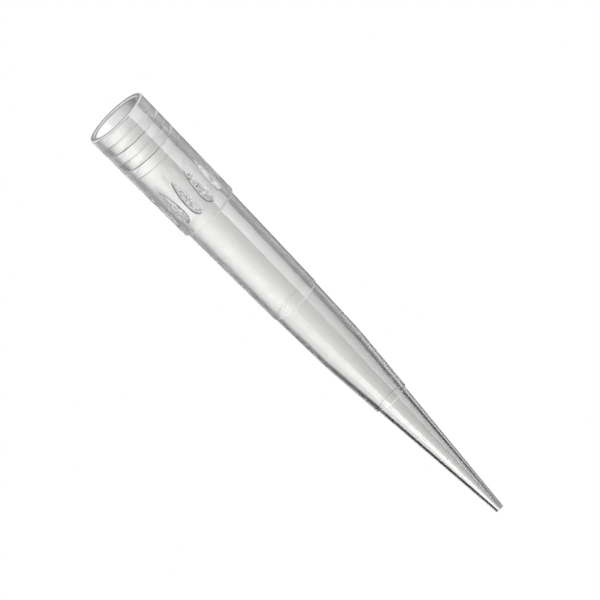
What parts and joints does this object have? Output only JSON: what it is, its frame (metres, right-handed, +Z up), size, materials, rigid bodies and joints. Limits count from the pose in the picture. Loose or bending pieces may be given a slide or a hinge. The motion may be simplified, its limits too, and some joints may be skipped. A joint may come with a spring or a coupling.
{
  "type": "pipette tip",
  "caption": "Slim tapered tip of clear polypropylene for a micropipette, with a ribbed nozzle socket, a collar with grip pockets and stepped volume marks.",
  "frame": {"origin": "the middle of the mouth, on the surface that the tip stands on", "axes": "+Z up along the tip's own axis, from the mouth to the point; a space between two grip pockets is at -Y, and the pockets are 15 degrees to either side of it and every 30 degrees on"},
  "size_m": [0.0088, 0.0088, 0.0718],
  "materials": {
    "polypropylene": "natural translucent, smooth, with frosted grip pockets"
  },
  "bodies": {
    "root": {"pipette_tip": "polypropylene"}
  },
  "joints": []
}
